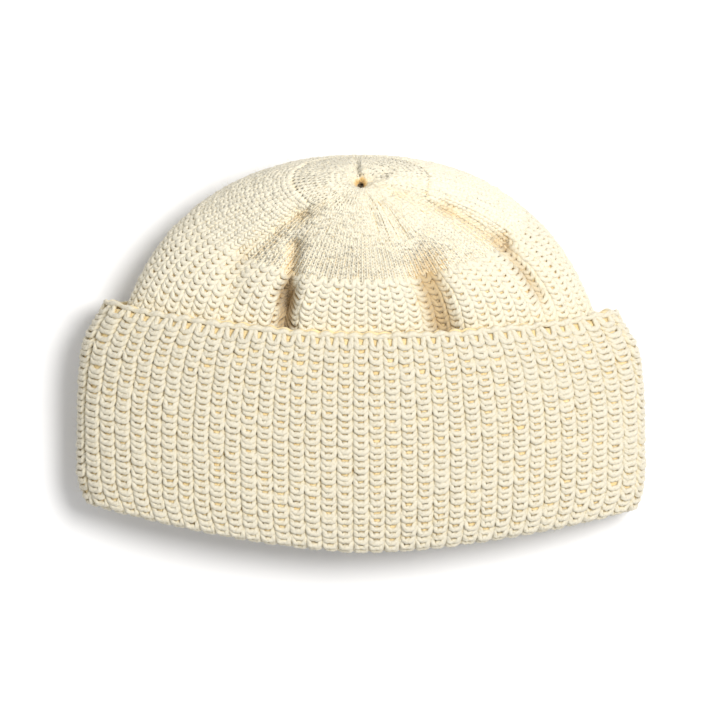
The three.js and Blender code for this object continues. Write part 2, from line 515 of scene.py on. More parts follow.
def knit(
    stitch: Stitch, spread: Unevenness, rng: np.random.Generator, courses: int, cells: int, width: float
) -> Swatch:
    """Knits courses of one stitch.

    Args:
        stitch: the stitch.
        spread: how uneven it is.
        rng: the zone's own random numbers.
        courses: how many courses.
        cells: stitches in a course.
        width: usual width of a stitch.

    Returns:
        The flat courses.
    """
    shape = (courses, cells, stitch.points)
    w = np.arange(cells * stitch.points) / stitch.points
    u = stitch.crowded(w)
    at_furrow = (0.5 * (1 + np.cos(TURN * w))) ** 2
    turn = np.where(np.arange(courses) % 2 == 0, 1.0, -1.0)[:, None]
    sway = spread.swaying(rng, courses, cells * stitch.points)
    height = stitch.relief(w) + stitch.bridge * turn * at_furrow
    return Swatch(
        across=u - 0.5 + spread.wander(rng, shape, spread.across / width),
        climb=stitch.climb(u) + spread.wander(rng, shape, spread.along) + sway,
        height=height + spread.wander(rng, shape, spread.height),
        radius=stitch.radius(w) * (1 + spread.wander(rng, shape, spread.thickness)),
    )


@dataclass
class Strands:
    """Strands of yarn, by strand and point.

    middles are the points that they run through and outs the outward directions there. radii are
    their thickness, heights their height above the face, and hollow how deep in a fold they lie.
    """

    middles: Array
    outs: Array
    radii: Array
    heights: Array
    hollow: Array

    def part(self, first: int, last: int) -> "Strands":
        """The strands from number first up to last."""
        return Strands(*(getattr(self, item.name)[first:last] for item in fields(self)))


class Yarn:
    """Strands of yarn gathered into one mesh."""

    def __init__(self, sides: int, crest: float, reach: float) -> None:
        """Starts an empty bundle.

        Args:
            sides: sides of a strand's section, an even number where strands are open.
            crest: height above the face at which the yarn counts as outermost.
            reach: how far below the crest it counts as deep inside.
        """
        self.sides = sides
        self.crest = crest
        self.reach = reach
        self.vertices: list[Array] = []
        self.quads: list[Array] = []
        self.uvs: list[Array] = []
        self.depths: list[Array] = []
        self.hollows: list[Array] = []
        self.count = 0

    def lay(self, strands: Strands, shown: Array | None = None, closed: bool = True) -> None:
        """Adds strands.

        Args:
            strands: the strands.
            shown: which pieces between a point and the next are made, or None for all.
            closed: whether each strand's last point joins its first.
        """
        count, points, _ = strands.middles.shape
        if shown is None:
            shown = np.ones((count, points), bool)
            shown[:, -1] = closed
        walls, wall_uv = self._walls(strands.middles, shown)
        caps = self._caps(shown)
        quads = np.concatenate([walls, caps])
        used, packed = np.unique(quads, return_inverse=True)
        angle = TURN * np.arange(self.sides) / self.sides
        height = strands.heights[..., None] + strands.radii[..., None] * np.cos(angle)
        # How far below the crest each point lies, and how deep in a fold: the wool's painted shade is read
        # from both.
        deep = np.clip((self.crest - height.reshape(-1)[used]) / self.reach, 0, 1)
        self.vertices.append(self._skin(strands, closed).reshape(-1, 3)[used])
        self.depths.append(deep)
        self.hollows.append(np.repeat(strands.hollow.reshape(-1), self.sides)[used])
        self.quads.append(packed.reshape(-1, 4) + self.count)
        self.uvs.append(np.concatenate([wall_uv, np.zeros((len(caps), 8))]))
        self.count += len(used)

    def _skin(self, strands: Strands, closed: bool) -> Array:
        """Points of the strands' skin, a ring of sides round every middle."""
        middles, radius = strands.middles, strands.radii[..., None, None]
        if closed:
            tangent = unit(np.roll(middles, -1, axis=1) - np.roll(middles, 1, axis=1))
        else:
            tangent = unit(np.gradient(middles, axis=1))
        out = unit(strands.outs - (strands.outs * tangent).sum(-1, keepdims=True) * tangent)
        side = np.cross(tangent, out)
        angle = (TURN * np.arange(self.sides) / self.sides)[None, None, :, None]
        around = np.cos(angle) * out[:, :, None] + np.sin(angle) * side[:, :, None]
        return middles[:, :, None] + radius * around

    def _walls(self, middles: Array, shown: Array) -> tuple[Array, Array]:
        """Quads between a point's ring and the next.

        Args:
            middles: the points that the strands run through.
            shown: which pieces are made.

        Returns:
            The quads, and the yarn coordinates of their corners.
        """
        count, points = shown.shape
        steps = np.linalg.norm(np.diff(middles, axis=1, append=middles[:, :1]), axis=-1)
        run = np.concatenate([np.zeros((count, 1)), np.cumsum(steps, axis=1)], axis=1)
        strand, point = np.nonzero(shown)
        ring = np.arange(self.sides)
        following = (ring + 1) % self.sides
        here = (strand * points + point)[:, None] * self.sides
        there = (strand * points + (point + 1) % points)[:, None] * self.sides
        quads = np.stack([here + ring, here + following, there + following, there + ring], axis=-1)
        u0, u1 = run[strand, point][:, None], run[strand, point + 1][:, None]
        v0, v1 = ring[None, :] / self.sides, (ring[None, :] + 1) / self.sides
        u0, u1, v0, v1 = np.broadcast_arrays(u0, u1, v0, v1)
        coordinates = np.stack([u0, v0, u0, v1, u1, v1, u1, v0], axis=-1)
        return quads.reshape(-1, 4), coordinates.reshape(-1, 8)

    def _caps(self, shown: Array) -> Array:
        """Faces that close a strand where its shown part starts and ends."""
        points = shown.shape[1]
        earlier = np.roll(shown, 1, axis=1)
        fans = [[0, k, k + 1, min(k + 2, self.sides - 1)] for k in range(1, self.sides - 1, 2)]
        order = np.array([fan for fan in fans if len(set(fan)) == 4]).reshape(-1, 4)
        starts = np.argwhere(shown & ~earlier) @ np.array([points, 1]) * self.sides
        ends = np.argwhere(earlier & ~shown) @ np.array([points, 1]) * self.sides
        opening = starts[:, None, None] + order[None, :, ::-1]
        closing = ends[:, None, None] + order[None]
        return np.concatenate([opening.reshape(-1, 4), closing.reshape(-1, 4)])

    def mesh(self, name: str) -> bpy.types.Object:
        """Makes the gathered strands an object.

        Args:
            name: the object's name.

        Returns:
            The new object, linked to the scene.
        """
        vertices = settled(np.concatenate(self.vertices)) * MM
        made = bpy.data.meshes.new(name)
        made.from_pydata(vertices, [], np.concatenate(self.quads))
        coordinates = np.concatenate(self.uvs).astype(np.float32).ravel()
        made.uv_layers.new(name="yarn").data.foreach_set("uv", coordinates)
        write_attribute(made, "depth", np.concatenate(self.depths))
        write_attribute(made, "hollow", np.concatenate(self.hollows))
        made.shade_smooth()
        return linked(name, made)


def write_attribute(mesh: bpy.types.Mesh, name: str, values: Array) -> None:
    """Keeps one number for each vertex of a mesh."""
    mesh.attributes.new(name, "FLOAT", "POINT").data.foreach_set("value", values.astype(np.float32))


def linked(name: str, mesh: bpy.types.Mesh) -> bpy.types.Object:
    """An object of the mesh in the scene, at the origin."""
    made = bpy.data.objects.new(name, mesh)
    bpy.context.scene.collection.objects.link(made)
    return made


class Graph:
    """Short hand for a material's nodes."""

    def __init__(self, name: str) -> None:
        """Starts a material with a Principled shader and its output."""
        self.material = bpy.data.materials.new(name)
        self.material.use_nodes = True
        self.tree = self.material.node_tree
        self.shader = self.tree.nodes["Principled BSDF"]

    def put(self, socket: bpy.types.NodeSocket, value: object) -> None:
        """Links a socket to another, or sets its own value.

        Args:
            socket: the input.
            value: a socket or a plain value.
        """
        if isinstance(value, bpy.types.NodeSocket):
            self.tree.links.new(value, socket)
        else:
            socket.default_value = value

    def add(self, kind: str, inputs: dict | None = None, **settings: object) -> bpy.types.Node:
        """Adds a node.

        Args:
            kind: the node's type.
            inputs: values or sockets for its inputs, by name or number.
            settings: the node's own properties.

        Returns:
            The node.
        """
        node = self.tree.nodes.new(kind)
        for key, value in settings.items():
            setattr(node, key, value)
        for key, value in (inputs or {}).items():
            self.put(node.inputs[key], value)
        return node

    def math(self, operation: str, *values: object) -> bpy.types.NodeSocket:
        """A math node's result."""
        return self.add("ShaderNodeMath", dict(enumerate(values)), operation=operation).outputs[0]

    def noise(self, where: bpy.types.NodeSocket, scale: float, detail: float) -> bpy.types.NodeSocket:
        """Noise between 0 and 1."""
        inputs = {"Vector": where, "Scale": scale, "Detail": detail, "Roughness": 0.6}
        return self.add("ShaderNodeTexNoise", inputs).outputs["Fac"]

    def rising(self, value: bpy.types.NodeSocket, low: float, high: float) -> bpy.types.NodeSocket:
        """0 below low, 1 above high, and smooth between them."""
        inputs = {"Value": value, "From Min": low, "From Max": high}
        return self.add("ShaderNodeMapRange", inputs, interpolation_type="SMOOTHSTEP").outputs["Result"]

    def mix(self, share: object, first: object, second: object) -> bpy.types.NodeSocket:
        """A mix of two colours."""
        inputs = {0: share, 6: first, 7: second}
        return self.add("ShaderNodeMix", inputs, data_type="RGBA", clamp_factor=True).outputs[2]

    def drive(self, name: str, value: object) -> None:
        """Sets an input of the shader, or links it."""
        self.put(self.shader.inputs[name], value)


@dataclass(frozen=True)
class WoolFinish:
    """Undyed wool with painted shade: pale where the strands stand out, and a painted warm tan shade deep
    between them.

    pale turns to cream a little way down, partly random tone and partly painted shade, and to deep, a
    painted warm shade, from deep_from on. shade is painted shade on the bottoms of folds between
    shade_from and shade_to, and flecks cover a share of the light wool.
    """

    name: str
    pale: Colour = (0.69, 0.645, 0.525, 1)
    # cream is partly random tone and partly painted shade a little way down between the strands
    cream: Colour = (0.71, 0.64, 0.47, 1)
    # deep is painted warm shade between the strands
    deep: Colour = (0.86, 0.69, 0.38, 1)
    fleck: Colour = (0.60, 0.51, 0.34, 1)
    # shade is painted shade on the bottoms of folds
    shade: Colour = (0.62, 0.46, 0.25, 1)
    deep_from: float = 0.45
    shade_from: float = 0.55
    shade_to: float = 1.5
    flecking: float = 0.5
    roughness: float = 0.95
    sheen: float = 0.4
    blotch_scale: float = 160.0
    mottle_scale: float = 900.0
    fleck_scale: float = 1100.0
    ply_pitch: float = 3.4
    plies: float = 2.0
    ply_bump: float = 0.5
    fuzz_scale: float = 1500.0
    fuzz_bump: float = 0.45

    def material(self) -> bpy.types.Material:
        """Makes the material for strands with depth, hollow and yarn coordinates."""
        graph = Graph(self.name)
        where = graph.add("ShaderNodeTexCoord").outputs["Object"]
        depth = graph.add("ShaderNodeAttribute", attribute_name="depth").outputs["Fac"]
        hollow = graph.add("ShaderNodeAttribute", attribute_name="hollow").outputs["Fac"]
        blotch = graph.math("SUBTRACT", graph.noise(where, self.blotch_scale, 3.0), 0.5)
        fine = graph.math("SUBTRACT", graph.noise(where, self.mottle_scale, 2.0), 0.5)
        # Depth below the crest and fold hollows paint shade into the colour; the noises add random tone.
        uneven = graph.math("MULTIPLY_ADD", blotch, 0.35, depth)
        uneven = graph.math("MULTIPLY_ADD", fine, 0.3, uneven)
        sunk = graph.math("MULTIPLY_ADD", hollow, 0.35, uneven)
        light = graph.mix(graph.rising(sunk, 0.05, 0.5), self.pale, self.cream)
        flecks = graph.rising(graph.noise(where, self.fleck_scale, 2.0), 0.47, 0.7)
        light = graph.mix(graph.math("MULTIPLY", flecks, self.flecking), light, self.fleck)
        # Painted warm shade between the strands, from deep_from on.
        with_painted_gap_shade = graph.mix(graph.rising(sunk, self.deep_from, self.deep_from + 0.6), light, self.deep)
        # Painted shade on the bottoms of folds, deepest where the strands lie low in them.
        folded = graph.math("MULTIPLY_ADD", depth, 0.3, hollow)
        shaded = graph.rising(folded, self.shade_from, self.shade_to)
        graph.drive("Base Color", graph.mix(shaded, with_painted_gap_shade, self.shade))
        graph.drive("Roughness", self.roughness)
        graph.drive("Sheen Weight", self.sheen)
        graph.drive("Sheen Roughness", 0.5)
        graph.drive("Sheen Tint", (1.0, 0.97, 0.9, 1))
        graph.drive("Specular IOR Level", 0.1)
        graph.drive("Normal", self._bump(graph, where))
        return graph.material

    def _bump(self, graph: Graph, where: bpy.types.NodeSocket) -> bpy.types.NodeSocket:
        """The twist of the plies, with loose fibres over it."""
        uv = graph.add("ShaderNodeUVMap", uv_map="yarn").outputs["UV"]
        parts = graph.add("ShaderNodeSeparateXYZ", {"Vector": uv})
        along = graph.math("DIVIDE", parts.outputs["X"], self.ply_pitch)
        turns = graph.math("MULTIPLY_ADD", parts.outputs["Y"], self.plies, along)
        ridge = graph.math("ABSOLUTE", graph.math("SINE", graph.math("MULTIPLY", turns, math.pi)))
        fuzz = graph.noise(where, self.fuzz_scale, 3.0)
        twist = {"Strength": self.ply_bump, "Distance": 0.0004, "Height": ridge}
        ply = graph.add("ShaderNodeBump", twist).outputs["Normal"]
        loose = {"Strength": self.fuzz_bump, "Distance": 0.0005, "Height": fuzz, "Normal": ply}
        return graph.add("ShaderNodeBump", loose).outputs["Normal"]


@dataclass(frozen=True)
class GroundFinish:
    """The back of the knit, seen between the strands, in painted shade: its warm tan colours are painted
    shade, and noise mixes the lighter lit one and the darker shaded one at random.
    """

    name: str
    lit: Colour = (0.93, 0.77, 0.45, 1)
    shaded: Colour = (0.85, 0.65, 0.33, 1)

    def material(self) -> bpy.types.Material:
        """Makes the material."""
        graph = Graph(self.name)
        where = graph.add("ShaderNodeTexCoord").outputs["Object"]
        coarse = graph.noise(where, 420.0, 4.0)
        fine = graph.noise(where, 1900.0, 3.0)
        graph.drive("Base Color", graph.mix(graph.rising(coarse, 0.35, 0.65), self.shaded, self.lit))
        graph.drive("Roughness", 0.95)
        graph.drive("Sheen Weight", 0.1)
        graph.drive("Specular IOR Level", 0.1)
        bump = graph.add("ShaderNodeBump", {"Strength": 0.8, "Distance": 0.0008, "Height": fine})
        graph.drive("Normal", bump.outputs["Normal"])
        return graph.material


CUFF_WOOL = WoolFinish("undyed_wool")
# The body's and crown's wool is paler than the cuff's, partly as painted light. Their deep and shade colours
# are painted shade: darker brown in the body's folds, greyer on the crown.
BODY_WOOL = WoolFinish(
    "undyed_body_wool",
    pale=(0.75, 0.705, 0.575, 1),
    cream=(0.77, 0.695, 0.51, 1),
    deep=(0.8, 0.57, 0.26, 1),
    fleck=(0.7, 0.58, 0.37, 1),
    shade=(0.47, 0.33, 0.16, 1),
    deep_from=0.28,
    shade_from=0.35,
    shade_to=1.3,
    flecking=0.4,
)
CROWN_WOOL = WoolFinish(
    "undyed_fine_wool",
    pale=(0.8, 0.755, 0.62, 1),
    cream=(0.82, 0.745, 0.56, 1),
    deep=(0.76, 0.52, 0.21, 1),
    fleck=(0.72, 0.59, 0.36, 1),
    shade=(0.66, 0.54, 0.35, 1),
    deep_from=0.22,
)
GROUND = GroundFinish("shaded_wool")
# The crown's ground is darker: painted shade in the crown's gaps and in the hole of the gather.
CROWN_GROUND = GroundFinish("shaded_crown_wool", lit=(0.6, 0.47, 0.29, 1), shaded=(0.5, 0.38, 0.22, 1))


class Slot(Enum):
    """The record's material slots."""

    JERSEY = "jersey_knit"
    RIB = "rib_knit"
    CUFF = "cuff_knit"


def dress(piece: bpy.types.Object, material: bpy.types.Material) -> None:
    """Gives a piece its material and the body it rides on, and reports it.

    Args:
        piece: the piece.
        material: its finish.
    """
    piece.data.materials.append(material)
    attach(piece, BODY)
    triangles = sum(len(polygon.vertices) - 2 for polygon in piece.data.polygons)
    LOG.info("%s: %d triangles", piece.name, triangles)


@dataclass(frozen=True)
class GroundRow:
    """One ring of the ground: its place along the cap, its lift off the face, and its ribs' depth."""

    along: float
    lift: float
    ribs: float


Placing = Callable[[Array, Array, Array], Array]


def ground_shell(name: str, rows: list[GroundRow], place: Placing, shares: int) -> bpy.types.Object:
    """Lofts a closed wall through rings, the last one joined to the first.

    Args:
        name: the piece's name.
        rows: the rings, in order round the wall's section.
        place: gives points for shares, places along and lifts.
        shares: points round a ring.

    Returns:
        The piece.
    """
    count = len(rows)
    made = bmesh.new()
    bmesh.ops.create_grid(made, x_segments=count, y_segments=shares, size=1)
    columns = np.array([[v.co.x, v.co.y] for v in made.verts])
    row = np.rint((columns[:, 0] + 1) / 2 * count).astype(int) % count
    share = np.rint((columns[:, 1] + 1) / 2 * shares) % shares / shares
    table = np.array([[r.along, r.lift, r.ribs] for r in rows])[row]
    ribbed = table[:, 1] + table[:, 2] / 2 * (np.cos(TURN * RIBS * share) - 1)
    points = settled(place(share, table[:, 0], ribbed)) * MM
    for vertex, point in zip(made.verts, points):
        vertex.co = point
    bmesh.ops.remove_doubles(made, verts=made.verts, dist=1e-7)
    if made.calc_volume(signed=True) < 0:
        bmesh.ops.reverse_faces(made, faces=made.faces)
    mesh = bpy.data.meshes.new(name)
    made.to_mesh(mesh)
    made.free()
    mesh.shade_smooth()
    return linked(name, mesh)


@dataclass
class TurnedCuff:
    """The band turned up over the body: free edge, ribbed face, folded rim and what shows inside.

    corner_draw is the share of the flare that is lost towards the free edge, and corner_drop how
    far the free edge sinks at the sides, which rounds the cuff's upper corners.
    """

    form: CapForm
    first_course: float = 85.6
    course_gap: float = 2.78
    inside_depth: float = 22.0
    corner_draw: float = 0.35
    corner_drop: float = 8.0
    stitch: Stitch = Stitch(
        rise=3.4, near=0.03, far=0.24, crowd=0.3, slant=0.0, arm=-0.15, middle=-0.5, furrow=-1.7,
        bridge=0.5, arm_radius=1.2, middle_radius=1.3, furrow_radius=0.95, points=8, sides=6,
    )
    edge_loop: Stitch = Stitch(
        rise=5.6, near=0.08, far=0.36, crowd=0.25, slant=0.25, arm=-0.15, middle=-0.6, furrow=-1.2,
        bridge=0, arm_radius=1.15, middle_radius=1.0, furrow_radius=1.1, points=12, sides=6,
    )
    chain: Stitch = Stitch(
        rise=0.8, near=0, far=0.5, crowd=0, slant=0.35, arm=-0.5, middle=-0.8, furrow=-0.4,
        bridge=0, arm_radius=1.25, middle_radius=1.15, furrow_radius=1.35, points=6, sides=6,
    )
    chain_place: float = 5.6
    chain_depths: tuple[float, float] = (0.0, 2.3)
    upper_courses: int = 15
    face_courses: int = 29
    unevenness: Unevenness = Unevenness(across=0.2, along=0.24, height=0.18, thickness=0.09, sway=0.3)
    ground_depth: float = 0.65
    ground_top: float = CUFF_TOP - 2.2
    ground_end: float = 30.0
    seed: int = 11

    @property
    def outer(self) -> float:
        """Lift of the cuff's outer face."""
        return GAP + CUFF_WALL

    @property
    def bend_radius(self) -> float:
        """Half the thickness of the folded rim."""
        return (self.outer + BODY_WALL) / 2

    def off_face(self, share: Array, along: Array, lift: Array) -> Array:
        """Points at a lift off the body's face, on the cuff that stands off at the sides.

        Args:
            share: shares of the way round.
            along: places along.
            lift: heights off the body's face.

        Returns:
            The points.
        """
        form = self.form
        sideways = form.read(form.normal, share, along)[..., 0] ** 2
        lowered = along - self.corner_drop * sideways**4 * smoothstep(along, CORNER_START, CUFF_TOP)
        normal = form.read(form.normal, share, lowered)
        flare = np.interp(lowered, form.alongs, form.columns["flare"])
        flare = flare * (1 - self.corner_draw * smoothstep(along, CORNER_START, CUFF_TOP))
        stand = lift + flare * sideways
        return form.read(form.face, share, lowered) + normal * stand[..., None]

    def on_path(self, share: Array, run: Array, height: Array) -> tuple[Array, Array]:
        """Points on the way from the first course over the rim and inside.

        Args:
            share: shares of the way round.
            run: lengths down from the first course.
            height: heights above the knit's face.

        Returns:
            The points and the outward directions.
        """
        straight = self.first_course - RIM_BEND
        bend = math.pi * self.bend_radius
        turned = np.clip(run - straight, 0, bend) / self.bend_radius
        inside = np.maximum(run - straight - bend, 0)
        in_bend = run > straight
        along = np.where(in_bend, RIM_BEND * (1 - np.sin(turned)) + inside, self.first_course - run)
        middle = (self.outer - BODY_WALL) / 2
        lift = middle + self.bend_radius * np.cos(turned)
        normal = self.form.read(self.form.normal, share, along)
        up = self.form.read(self.form.up, share, along)
        out = unit(np.cos(turned)[..., None] * normal - np.sin(turned)[..., None] * up)
        return self.off_face(share, along, lift) + out * height[..., None], out

    def strands(self, swatch: Swatch, first: float) -> Strands:
        """Lays flat courses on the cuff.

        Args:
            swatch: the flat courses.
            first: how far below the first course their first one runs.

        Returns:
            The strands.
        """
        lines = first + np.arange(len(swatch.climb))[:, None] * self.course_gap
        run = lines - swatch.climb
        middles, outs = self.on_path(swatch.across / RIBS, run, swatch.height)
        return Strands(middles, outs, swatch.radius, swatch.height, np.zeros_like(swatch.radius))

    def build(self, wool: bpy.types.Material, ground: bpy.types.Material) -> None:
        """Knits the band and dresses it.

        Args:
            wool: finish of the strands.
            ground: finish of the wall behind them.
        """
        rng = np.random.default_rng(self.seed)
        length = self.first_course - RIM_BEND + math.pi * self.bend_radius + self.inside_depth
        count = int(length / self.course_gap)
        strands = self.strands(knit(self.stitch, self.unevenness, rng, count, RIBS, CUFF_RIB), 0)
        parts = (
            ("cuff_courses_upper", 0, self.upper_courses),
            ("cuff_courses_lower", self.upper_courses, self.face_courses),
            ("rim_courses", self.face_courses, count),
        )
        for name, first, last in parts:
            yarn = Yarn(self.stitch.sides, crest=0.8, reach=2.5)
            yarn.lay(strands.part(first, last))
            piece = yarn.mesh(name)
            if first == 0:
                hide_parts("cuff")
            dress(piece, wool)
        dress(self.free_edge(rng), wool)
        dress(self.ground(), ground)

    def free_edge(self, rng: np.random.Generator) -> bpy.types.Object:
        """Tall loops along the free edge, and the chain that closes them.

        Args:
            rng: the cuff's random numbers.

        Returns:
            The piece.
        """
        yarn = Yarn(self.edge_loop.sides, crest=1.0, reach=3.0)
        loops = knit(self.edge_loop, self.unevenness, rng, 1, RIBS, CUFF_RIB)
        yarn.lay(self.strands(loops, 0.3))
        for depth in self.chain_depths:
            chain = knit(self.chain, self.unevenness, rng, 1, RIBS, CUFF_RIB)
            chain.height -= depth
            yarn.lay(self.strands(chain, -self.chain_place))
        return yarn.mesh("free_edge_loops")

    def ground(self) -> bpy.types.Object:
        """The closed wall behind the courses."""
        face = self.outer - self.ground_depth
        inner = -BODY_WALL + 0.6
        middle = (face + inner) / 2
        radius = (face - inner) / 2
        rows = [GroundRow(along, face, 1.0) for along in np.linspace(self.ground_top, RIM_BEND + 1, 34)]
        for angle in np.linspace(0, math.pi, 8):
            along = RIM_BEND + 1 - (RIM_BEND - 1) * math.sin(angle)
            rows.append(GroundRow(along, middle + radius * math.cos(angle), 0.4))
        rows += [GroundRow(along, inner, 0) for along in np.linspace(RIM_BEND + 3, self.ground_end, 8)]
        rows += [GroundRow(along, inner + 0.5, 0) for along in np.linspace(self.ground_end, RIM_BEND + 3, 6)]
        rows += [GroundRow(along, GAP, 0) for along in np.linspace(RIM_BEND + 4, self.ground_top, 20)]
        return ground_shell("cuff_ground", rows, self.off_face, 4 * RIBS)


@dataclass
class RibbedBody:
    """The ribbed tube between the cuff and the crown.

    Its courses are made down to lowest_shown, inside the cuff. The wall behind them keeps its ribs
    down to ribs_until and is smooth from smooth_from on.
    """

    form: CapForm
    course_gap: float = 2.9
    rib_width: float = 6.1
    lowest_shown: float = 82.0
    ribs_until: float = 80.0
    smooth_from: float = 78.0
    stitch: Stitch = Stitch(
        rise=3.3, near=0.03, far=0.26, crowd=0.3, slant=0.0, arm=-0.2, middle=-0.4, furrow=-1.2,
        bridge=0.25, arm_radius=1.2, middle_radius=1.3, furrow_radius=1.05, points=8, sides=6,
    )
    unevenness: Unevenness = Unevenness(across=0.18, along=0.18, height=0.14, thickness=0.07, sway=0.25)
    seed: int = 23

    def build(self, wool: bpy.types.Material, ground: bpy.types.Material) -> None:
        """Knits the tube and dresses it.

        Args:
            wool: finish of the strands.
            ground: finish of the wall behind them.
        """
        rng = np.random.default_rng(self.seed)
        form = self.form
        every = np.arange(form.SHARES) / form.SHARES
        longest = -form.read(form.lengths, every, np.full(form.SHARES, self.lowest_shown)).min()
        count = int(longest / self.course_gap)
        swatch = knit(self.stitch, self.unevenness, rng, count, RIBS, self.rib_width)
        share = swatch.across / RIBS
        length = swatch.climb - (np.arange(count)[:, None] + 0.6) * self.course_gap
        along = form.along_at(share, length)
        middles, outs = form.on_face(share, along, swatch.height)
        yarn = Yarn(self.stitch.sides, crest=0.6, reach=2.2)
        strands = Strands(middles, outs, swatch.radius, swatch.height, form.hollow(share, along))
        yarn.lay(strands, shown=along > self.lowest_shown)
        piece = yarn.mesh("body_courses")
        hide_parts("body")
        dress(piece, wool)
        dress(self.ground(), ground)

    def ground(self) -> bpy.types.Object:
        """The closed wall behind the courses, with the ribs that show inside the cap."""
        shown = np.linspace(CROWN_START - GAP / 2, self.ribs_until, 60)
        hidden = np.linspace(self.smooth_from, RIM_BEND + GAP, 12)
        inside = np.linspace(RIM_BEND + GAP, CROWN_START - GAP / 2, 40)
        rows = [GroundRow(along, -0.7, 0.8) for along in shown]
        rows += [GroundRow(along, -0.3, 0) for along in hidden]
        rows += [GroundRow(along, -BODY_WALL, -0.9) for along in inside]
        return ground_shell("body_ground", rows, self.form.wall, 4 * RIBS)


@dataclass
class GatheredCrown:
    """The plain knit dome, drawn together at a gather.

    Between the two seams, at the front, it is knitted finely up to course fine_until. The ribs run
    on at the sides and back, and above both lie plain courses with one wale to a rib. The front has
    a row of short dashes where stitches are taken in, and furrows that fan out from the gather on
    one side, with more of them in a band beyond the right seam. Seams and furrows are placed by
    shares of the way round. Places up the dome are parts of its length to the pole: from
    funnel_from on the strands turn in towards the gather, and funnel_depth is how deep they go.
    """

    form: CapForm
    courses: int = 34
    fine_until: int = 24
    ribbed_until: int = 22
    first_place: float = -0.8
    fine_wales: int = 148
    left_seam: float = -0.15
    right_seam: float = 0.19
    gather_at: float = 0.986
    funnel_from: float = 0.93
    funnel_depth: float = 2.0
    nearest_pole: float = 0.995
    dashes: int = 58
    dash_course: float = 16.0
    dash_depth: float = 1.5
    dash_spread: float = 1.7
    dashes_left: float = -0.1
    dashes_right: float = 0.13
    fan_depth: float = 1.6
    fan_middle: float = 0.09
    fan_reach: float = 0.08
    band_middle: float = 0.215
    band_reach: float = 0.055
    furrow_rise: float = 1.35
    furrow_width: float = 0.75
    ground_depth: float = 1.6
    sink_from: float = 178.0
    sink_until: float = 188.0
    sink: float = 5.0
    seam_overlap: float = 0.009
    fine_stitch: Stitch = Stitch(
        rise=2.3, near=0, far=0.5, crowd=0, slant=0, arm=-0.4, middle=-0.55, furrow=-1.1,
        bridge=0, arm_radius=0.58, middle_radius=0.55, furrow_radius=0.48, points=5, sides=4,
    )
    rib_stitch: Stitch = Stitch(
        rise=1.35, near=0.03, far=0.3, crowd=0.3, slant=0, arm=-0.1, middle=-0.3, furrow=-0.9,
        bridge=0.1, arm_radius=0.62, middle_radius=0.62, furrow_radius=0.5, points=8, sides=6,
    )
    plain_stitch: Stitch = Stitch(
        rise=2.2, near=0, far=0.5, crowd=0.2, slant=0, arm=-0.35, middle=-0.55, furrow=-1.0,
        bridge=0, arm_radius=0.58, middle_radius=0.55, furrow_radius=0.46, points=6, sides=4,
    )
    unevenness: Unevenness = Unevenness(across=0.1, along=0.06, height=0.1, thickness=0.08, sway=0.0)
    seed: int = 37

    def zone(
        self, rng: np.random.Generator, stitch: Stitch, first: int, last: int, wales: int
    ) -> tuple[Strands, Array]:
        """Knits the courses from first to last.

        Args:
            rng: the crown's random numbers.
            stitch: their stitch, whose rise counts courses.
            first: number of the first course.
            last: number after the last course.
            wales: stitches in each course.

        Returns:
            The strands, and how far outside the seams each of their pieces lies.
        """
        form = self.form
        swatch = knit(stitch, self.unevenness, rng, last - first, wales, 3.0)
        share = swatch.across / wales
        course = np.arange(first, last)[:, None]
        step = self.gather_at / self.courses
        part = np.minimum((course + self.first_place + swatch.climb) * step, self.nearest_pole)
        whole = form.lengths[-1][form.column_of(share)]
        along = form.along_at(share, part * whole)
        ring = form.read(form.face, share, along)
        pitch = np.linalg.norm(np.roll(ring, -1, axis=1) - ring, axis=-1).mean(axis=1, keepdims=True)
        size = np.minimum(whole * step * 0.95, pitch * stitch.points * 0.62) / 1.15
        round_it = pitch * stitch.points * wales
        height = swatch.height * np.minimum(size, 1.6) - self.dips(share, part / step, round_it)
        height = height - self.funnel_depth * smoothstep(part, self.funnel_from, self.gather_at)
        middles, outs = form.on_face(share, along, height)
        turned = (share + 0.5) % 1 - 0.5
        outside = np.maximum(self.left_seam - turned, turned - self.right_seam)
        return Strands(middles, outs, swatch.radius * size, height, form.hollow(share, along)), outside

    def dips(self, share: Array, course: Array, round_it: Array) -> Array:
        """How far the row of dashes and the fan of furrows sink the strands.

        Args:
            share: shares of the way round.
            course: courses up from the crown's start.
            round_it: length round the crown at each course.

        Returns:
            The depth at each point.
        """
        uneven = np.random.default_rng(self.seed + 1).uniform(0.35, 1.3, self.dashes)
        place = share * self.dashes
        nearest = np.rint(place)
        spacing = round_it / self.dashes
        away = (place - nearest) * spacing / np.minimum(self.furrow_width, 0.25 * spacing)
        turned = (share + 0.5) % 1 - 0.5
        front = smoothstep(turned, self.left_seam, self.dashes_left)
        front = front * (1 - smoothstep(turned, self.dashes_right, self.right_seam))
        dash = self.dash_depth * np.exp(-(((course - self.dash_course) / self.dash_spread) ** 2)) * front
        fan = np.exp(-(((turned - self.fan_middle) / self.fan_reach) ** 2))
        fan = self.fan_depth * (fan + np.exp(-(((turned - self.band_middle) / self.band_reach) ** 2)))
        fan = fan * smoothstep(course, self.dash_course - 5, self.dash_course + 2)
        depth = np.maximum(dash, fan * self.furrow_rise) * uneven[nearest.astype(int) % self.dashes]
        return depth * np.exp(-(away**2))

